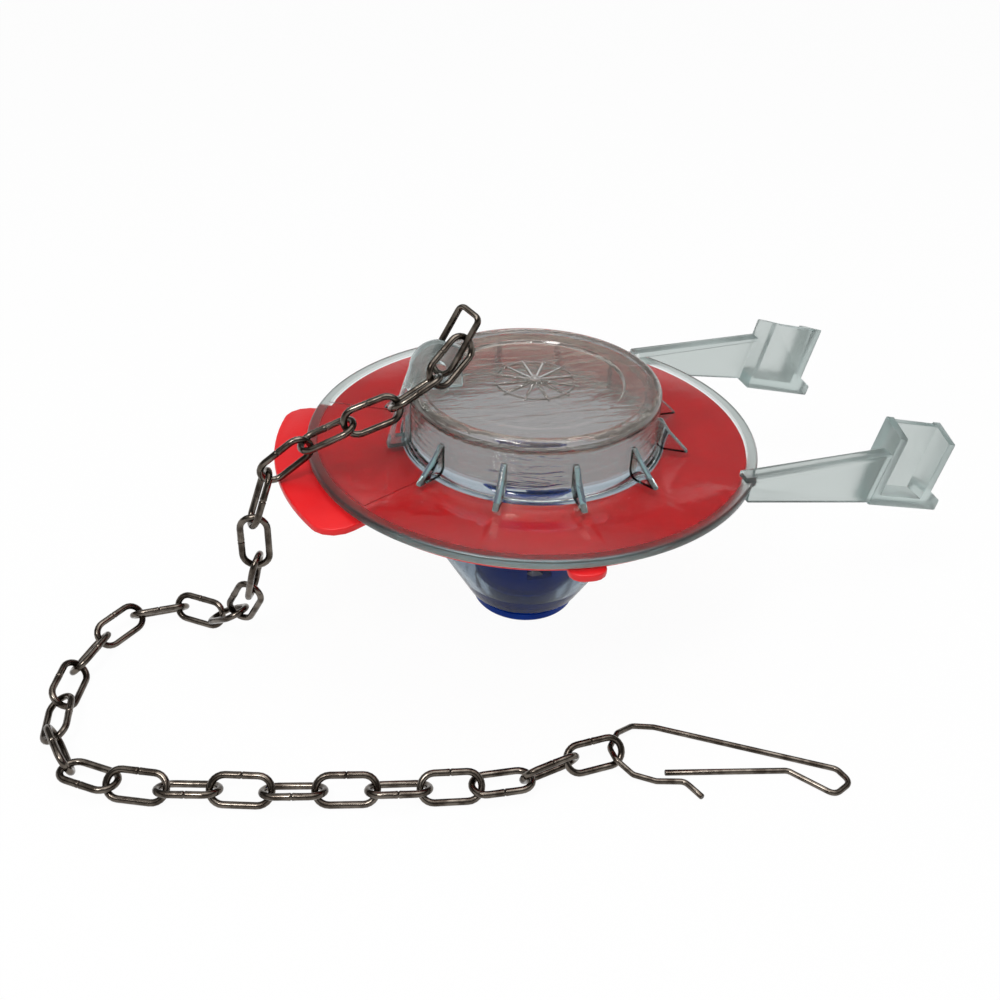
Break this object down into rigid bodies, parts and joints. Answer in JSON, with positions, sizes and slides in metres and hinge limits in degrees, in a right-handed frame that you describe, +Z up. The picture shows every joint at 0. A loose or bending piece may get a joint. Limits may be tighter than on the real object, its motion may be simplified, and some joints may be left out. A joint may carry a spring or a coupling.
{
  "type": "flush valve seal",
  "caption": "Clear float frame with a red rubber seal ring, a blue bleed dial, two hinge ears, and a steel chain with a wire clip.",
  "frame": {"origin": "centre of the dial's foot, on the surface that the part stands on", "axes": "+Z up along the axis of the dial, cone and drum; +X towards the hinge ears; the chain lug is on -X"},
  "size_m": [0.1943, 0.126, 0.0748],
  "materials": {
    "clear_plastic": "clear moulded, polished",
    "red_rubber": "smooth, slightly glossy",
    "blue_plastic": "moulded, satin gloss",
    "steel": "bright drawn wire, darkly reflecting"
  },
  "bodies": {
    "float": {"float_frame": "clear_plastic", "top_cap": "clear_plastic", "seal_ring": "red_rubber", "lug_link": "steel", "chain_link_02": "steel", "chain_link_03": "steel", "chain_link_04": "steel", "chain_link_05": "steel", "chain_link_06": "steel", "chain_link_07": "steel", "chain_link_08": "steel", "chain_link_09": "steel", "chain_link_10": "steel", "chain_link_11": "steel", "chain_link_12": "steel", "chain_link_13": "steel", "chain_link_14": "steel", "chain_link_15": "steel", "chain_link_16": "steel", "chain_link_17": "steel", "chain_link_18": "steel", "chain_link_19": "steel", "chain_link_20": "steel", "chain_link_21": "steel", "chain_link_22": "steel", "chain_link_23": "steel", "chain_link_24": "steel", "chain_link_25": "steel", "chain_link_26": "steel", "chain_link_27": "steel", "chain_link_28": "steel", "chain_link_29": "steel", "wire_clip": "steel"},
    "dial": {"bleed_dial": "blue_plastic"}
  },
  "joints": [
    {"name": "dial_turn", "type": "hinge", "parent": "float", "child": "dial", "pos_m": [0, 0, 0], "axis": [0, 0, 1], "range_deg": [0, 270]}
  ]
}
